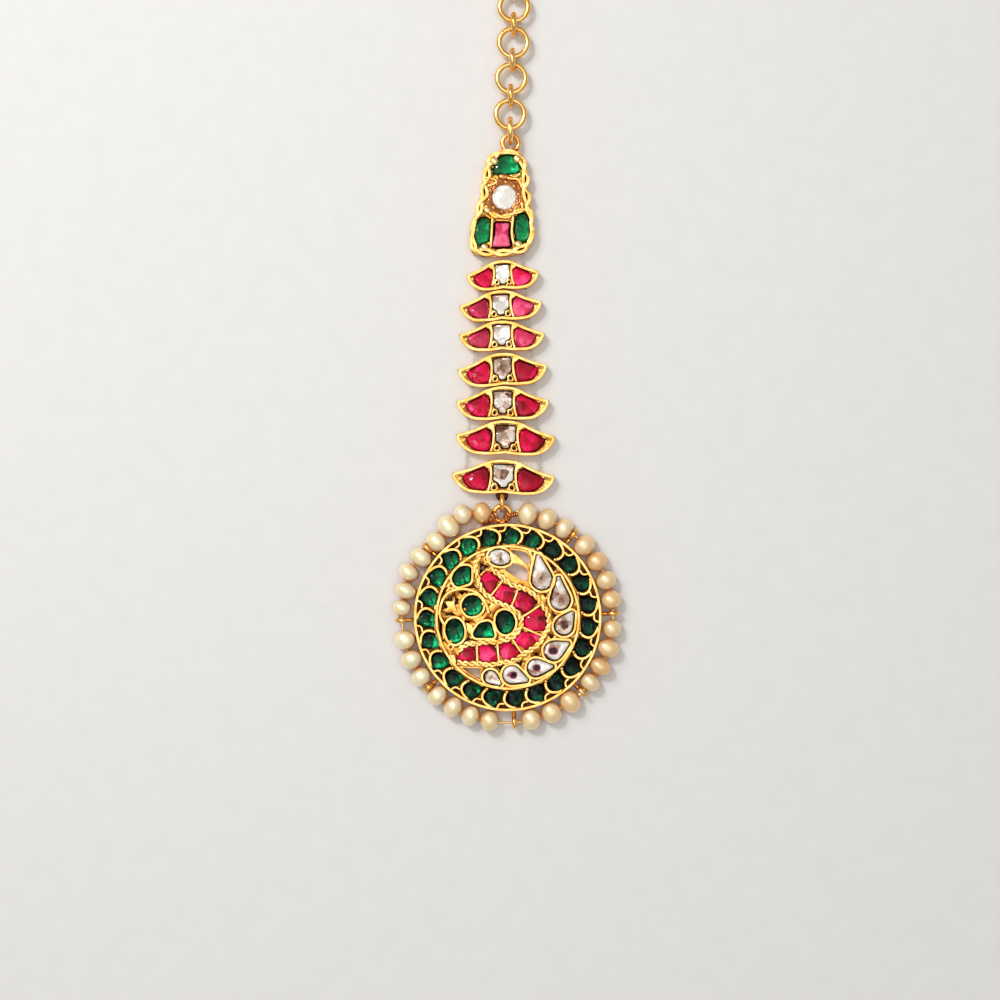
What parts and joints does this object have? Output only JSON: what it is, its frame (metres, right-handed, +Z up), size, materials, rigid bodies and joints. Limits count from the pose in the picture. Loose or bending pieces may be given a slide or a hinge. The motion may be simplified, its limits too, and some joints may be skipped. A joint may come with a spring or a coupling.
{
  "type": "maang tikka",
  "caption": "Forehead jewel: a round stone-set pendant edged with pearls, hung below a ladder of crescent plates and a tapered plate, with a ring chain and a hair hook.",
  "frame": {"origin": "middle of the jewel's footprint, on the surface that it lies on", "axes": "+Y from the pendant to the hair hook, +Z up out of the stones' faces, +X to the right as seen from above with the hook at the top"},
  "size_m": [0.0398, 0.1408, 0.0048],
  "materials": {
    "setting_gold": "bright gold plating with darker recesses",
    "chain_gold": "polished gold plating",
    "wire_gold": "thin gold-plated wire",
    "emerald_glass": "faceted, foil behind",
    "ruby_glass": "faceted, foil behind",
    "pink_glass": "faceted, foil behind",
    "clear_glass": "flat cut, foil behind",
    "pearl": "lustrous imitation pearl",
    "clear_thread": "clear nylon"
  },
  "bodies": {
    "root": {"chain_link_1": "chain_gold", "chain_link_2": "chain_gold", "chain_link_3": "chain_gold", "chain_link_4": "chain_gold", "chain_link_5": "chain_gold", "chain_ring_1": "chain_gold", "chain_ring_2": "chain_gold", "chain_ring_3": "chain_gold", "chain_ring_4": "chain_gold", "crescent_1": "setting_gold", "crescent_1_stone_left": "ruby_glass", "crescent_1_stone_middle": "clear_glass", "crescent_1_stone_right": "ruby_glass", "crescent_2": "setting_gold", "crescent_2_stone_left": "ruby_glass", "crescent_2_stone_middle": "clear_glass", "crescent_2_stone_right": "ruby_glass", "crescent_3": "setting_gold", "crescent_3_stone_left": "ruby_glass", "crescent_3_stone_middle": "clear_glass", "crescent_3_stone_right": "ruby_glass", "crescent_4": "setting_gold", "crescent_4_stone_left": "ruby_glass", "crescent_4_stone_middle": "clear_glass", "crescent_4_stone_right": "ruby_glass", "crescent_5": "setting_gold", "crescent_5_stone_left": "ruby_glass", "crescent_5_stone_middle": "clear_glass", "crescent_5_stone_right": "ruby_glass", "crescent_6": "setting_gold", "crescent_6_stone_left": "ruby_glass", "crescent_6_stone_middle": "clear_glass", "crescent_6_stone_right": "ruby_glass", "crescent_7": "setting_gold", "crescent_7_stone_left": "ruby_glass", "crescent_7_stone_middle": "clear_glass", "crescent_7_stone_right": "ruby_glass", "disc_frame": "setting_gold", "disc_rim_stones": "emerald_glass", "hair_hook": "chain_gold", "jump_ring": "chain_gold", "peacock_green_stones": "emerald_glass", "peacock_red_stones": "ruby_glass", "peacock_white_stones": "clear_glass", "pearl_wire": "wire_gold", "pearls": "pearl", "plate_frame": "setting_gold", "plate_stone_crown": "emerald_glass", "plate_stone_left": "emerald_glass", "plate_stone_middle": "pink_glass", "plate_stone_right": "emerald_glass", "plate_stone_round": "clear_glass", "thread_left": "clear_thread", "thread_right": "clear_thread"}
  },
  "joints": []
}
